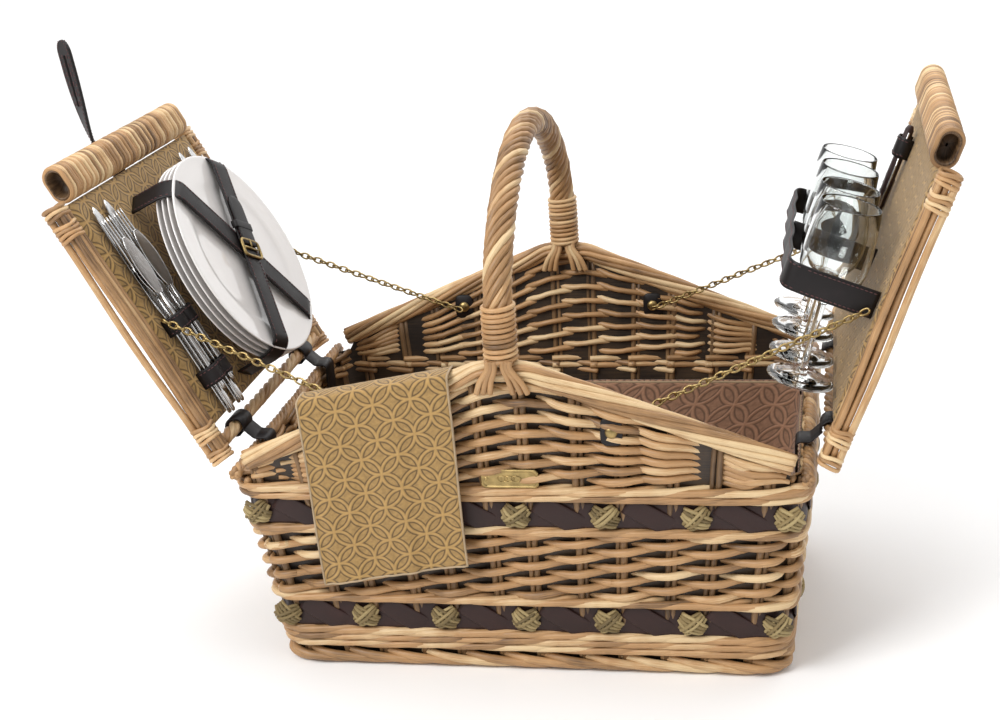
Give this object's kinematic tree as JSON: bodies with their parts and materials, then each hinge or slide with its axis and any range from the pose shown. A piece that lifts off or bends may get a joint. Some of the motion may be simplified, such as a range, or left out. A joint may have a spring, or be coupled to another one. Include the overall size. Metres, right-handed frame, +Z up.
{
  "type": "wicker picnic basket",
  "caption": "Woven willow picnic basket with a fixed arch handle and two end-hinged lids held open by chains, carrying plates, cutlery, wine glasses and a napkin.",
  "frame": {"origin": "middle of the basket's flat base, on the ground", "axes": "+X along the basket towards the lid that carries the glasses, +Y away from the napkin side, +Z up"},
  "size_m": [0.8458, 0.3992, 0.5832],
  "materials": {
    "willow": "peeled and stained willow rods, satin",
    "leather": "dark brown smooth leather, stitched edges",
    "leather_ribbon": "brown leather ribbon",
    "seagrass": "twisted dry seagrass",
    "brass": "antique brass",
    "chain": "antique brass curb chain",
    "napkin_fabric": "woven gold jacquard with interlocking rings",
    "liner_fabric": "brown jacquard lining",
    "porcelain": "glazed white porcelain",
    "steel": "polished stainless steel",
    "glass": "clear glass"
  },
  "bodies": {
    "basket": {"base_panel": "willow", "chain_anchors": "brass", "handle_arch": "willow", "handle_bindings": "willow", "handle_spokes": "willow", "hinge_straps_left": "leather", "hinge_straps_right": "leather", "leather_band_lower": "leather_ribbon", "leather_band_upper": "leather_ribbon", "liner_pouch": "liner_fabric", "name_plate": "brass", "rim_back": "willow", "rim_front": "willow", "rim_left": "willow", "rim_right": "willow", "seagrass_knots_lower": "seagrass", "seagrass_knots_upper": "seagrass", "wall_back": "willow", "wall_front": "willow", "wall_left": "willow", "wall_right": "willow"},
    "left_lid": {"cutlery_loops": "leather", "forks": "steel", "knives": "steel", "lid_left_bars": "willow", "lid_left_hinge_bar": "willow", "lid_left_lining": "napkin_fabric", "lid_left_roll": "willow", "lid_left_weave": "willow", "plate_1": "porcelain", "plate_2": "porcelain", "plate_3": "porcelain", "plate_4": "porcelain", "plate_buckle": "brass", "plate_strap_lower": "leather", "plate_strap_upper": "leather", "spoons": "steel"},
    "right_lid": {"closure_post": "brass", "corkscrew": "steel", "corkscrew_loop": "leather", "glass_strap": "leather", "lid_right_bars": "willow", "lid_right_hinge_bar": "willow", "lid_right_lining": "napkin_fabric", "lid_right_roll": "willow", "lid_right_weave": "willow", "wine_glass_1": "glass", "wine_glass_2": "glass", "wine_glass_3": "glass", "wine_glass_4": "glass"},
    "chain_left_back_lid": {"chain_left_back_lid": "chain"},
    "chain_left_back_wall": {"chain_left_back_wall": "chain"},
    "chain_left_front_lid": {"chain_left_front_lid": "chain"},
    "chain_left_front_wall": {"chain_left_front_wall": "chain"},
    "chain_right_back_lid": {"chain_right_back_lid": "chain"},
    "chain_right_back_wall": {"chain_right_back_wall": "chain"},
    "chain_right_front_lid": {"chain_right_front_lid": "chain"},
    "chain_right_front_wall": {"chain_right_front_wall": "chain"},
    "closure_strap": {"closure_strap": "leather"},
    "napkin": {"napkin": "napkin_fabric"}
  },
  "joints": [
    {"name": "left_lid_hinge", "type": "hinge", "parent": "basket", "child": "left_lid", "pos_m": [-0.278, 0, 0.2286], "axis": [0, 1, 0], "range_deg": [0, 96.2]},
    {"name": "right_lid_hinge", "type": "hinge", "parent": "basket", "child": "right_lid", "pos_m": [0.278, 0, 0.2286], "axis": [0, -1, 0], "range_deg": [0, 89.2]},
    {"name": "closure_strap_flex", "type": "hinge", "parent": "left_lid", "child": "closure_strap", "pos_m": [-0.40657, 0, 0.45017], "axis": [0, 1, 0], "range_deg": [-45, 0], "stiffness_Nm_per_rad": 0.12},
    {"name": "napkin_settle", "type": "hinge", "parent": "basket", "child": "napkin", "pos_m": [-0.046, -0.176, 0.3112], "axis": [0, -1, 0], "range_deg": [0, 11.2]},
    {"name": "chain_left_front_wall_swing", "type": "hinge", "parent": "basket", "child": "chain_left_front_wall", "pos_m": [-0.112, -0.158, 0.255], "axis": [0, -1, 0], "range_deg": [0, 92.22]},
    {"name": "chain_left_front_lid_swing", "type": "hinge", "parent": "left_lid", "child": "chain_left_front_lid", "pos_m": [-0.32474, -0.136, 0.34419], "axis": [0, -1, 0], "range_deg": [0, 31.76]},
    {"name": "chain_left_back_wall_swing", "type": "hinge", "parent": "basket", "child": "chain_left_back_wall", "pos_m": [-0.112, 0.158, 0.255], "axis": [0, -1, 0], "range_deg": [0, 92.22]},
    {"name": "chain_left_back_lid_swing", "type": "hinge", "parent": "left_lid", "child": "chain_left_back_lid", "pos_m": [-0.32474, 0.136, 0.34419], "axis": [0, -1, 0], "range_deg": [0, 31.76]},
    {"name": "chain_right_front_wall_swing", "type": "hinge", "parent": "basket", "child": "chain_right_front_wall", "pos_m": [0.092, -0.158, 0.255], "axis": [0, 1, 0], "range_deg": [0, 91.01]},
    {"name": "chain_right_front_lid_swing", "type": "hinge", "parent": "right_lid", "child": "chain_right_front_lid", "pos_m": [0.3103, -0.136, 0.34902], "axis": [0, 1, 0], "range_deg": [0, 32.69]},
    {"name": "chain_right_back_wall_swing", "type": "hinge", "parent": "basket", "child": "chain_right_back_wall", "pos_m": [0.092, 0.158, 0.255], "axis": [0, 1, 0], "range_deg": [0, 91.01]},
    {"name": "chain_right_back_lid_swing", "type": "hinge", "parent": "right_lid", "child": "chain_right_back_lid", "pos_m": [0.3103, 0.136, 0.34902], "axis": [0, 1, 0], "range_deg": [0, 32.69]}
  ],
  "couplings": [
    {"joint": "napkin_settle", "follows": "left_lid_hinge", "ratio": 0.11631},
    {"joint": "chain_left_front_wall_swing", "follows": "left_lid_hinge", "ratio": 0.95348},
    {"joint": "chain_left_front_lid_swing", "follows": "left_lid_hinge", "ratio": 0.32498},
    {"joint": "chain_left_back_wall_swing", "follows": "left_lid_hinge", "ratio": 0.95348},
    {"joint": "chain_left_back_lid_swing", "follows": "left_lid_hinge", "ratio": 0.32498},
    {"joint": "chain_right_front_wall_swing", "follows": "right_lid_hinge", "ratio": 1.0147},
    {"joint": "chain_right_front_lid_swing", "follows": "right_lid_hinge", "ratio": 0.36089},
    {"joint": "chain_right_back_wall_swing", "follows": "right_lid_hinge", "ratio": 1.0147},
    {"joint": "chain_right_back_lid_swing", "follows": "right_lid_hinge", "ratio": 0.36089}
  ]
}
